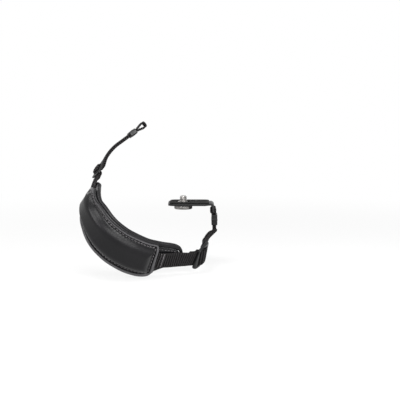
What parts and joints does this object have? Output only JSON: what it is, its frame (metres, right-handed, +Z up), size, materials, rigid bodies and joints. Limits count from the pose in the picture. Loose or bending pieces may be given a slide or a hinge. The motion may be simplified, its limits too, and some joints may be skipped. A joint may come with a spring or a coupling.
{
  "type": "camera hand grip strap",
  "caption": "Padded leather hand strap in its worn arc: crowned stitched pad, webbing with slide buckles and keepers, and a plate with a captive tripod screw.",
  "frame": {"origin": "on the top of the tripod plate's rubber facing, the face that bears on the camera's base", "axes": "+Z up out of the plate towards the camera, +X from the tripod screw to the tab that the strap is threaded through, -Y from the plate towards the pad"},
  "size_m": [0.1137, 0.1122, 0.127],
  "materials": {
    "base_plate": "satin black coating on sheet steel",
    "plate_pad": "matt black rubber",
    "tripod_screw": "satin steel, knurled head",
    "screw_clip": "bright spring steel",
    "lower_webbing": "ribbed black nylon webbing",
    "webbing_keeper": "black moulded nylon",
    "lower_slide_buckle": "semi-gloss black moulded nylon",
    "inner_cover": "smooth black leather",
    "inner_foam": "closed-cell foam",
    "inner_lining": "soft black lining",
    "rim_piping": "rolled black leather edge",
    "outer_panel": "smooth black leather, satin sheen",
    "panel_foam": "soft foam",
    "upper_webbing": "ribbed black nylon webbing",
    "upper_slide_buckle": "semi-gloss black moulded nylon",
    "upper_keeper": "black moulded nylon"
  },
  "bodies": {
    "strap": {"base_plate": "base_plate", "plate_pad": "plate_pad", "lower_webbing": "lower_webbing", "lower_slide_buckle": "lower_slide_buckle", "inner_cover": "inner_cover", "inner_foam": "inner_foam", "inner_lining": "inner_lining", "rim_piping": "rim_piping", "outer_panel": "outer_panel", "panel_foam": "panel_foam", "upper_webbing": "upper_webbing", "upper_slide_buckle": "upper_slide_buckle"},
    "screw": {"tripod_screw": "tripod_screw", "screw_clip": "screw_clip"},
    "keeper": {"webbing_keeper": "webbing_keeper"},
    "small_keeper": {"upper_keeper": "upper_keeper"}
  },
  "joints": [
    {"name": "screw_spin", "type": "hinge", "parent": "strap", "child": "screw", "pos_m": [-0.0092, 0, 0], "axis": [0, 0, 1], "continuous": true},
    {"name": "keeper_slide", "type": "slide", "parent": "strap", "child": "keeper", "axis": [0, 0, -1], "range_m": [0, 0.0023]},
    {"name": "upper_keeper_slide", "type": "slide", "parent": "strap", "child": "small_keeper", "axis": [-0.7663, -0.2873, -0.5747], "range_m": [0, 0.004]}
  ]
}
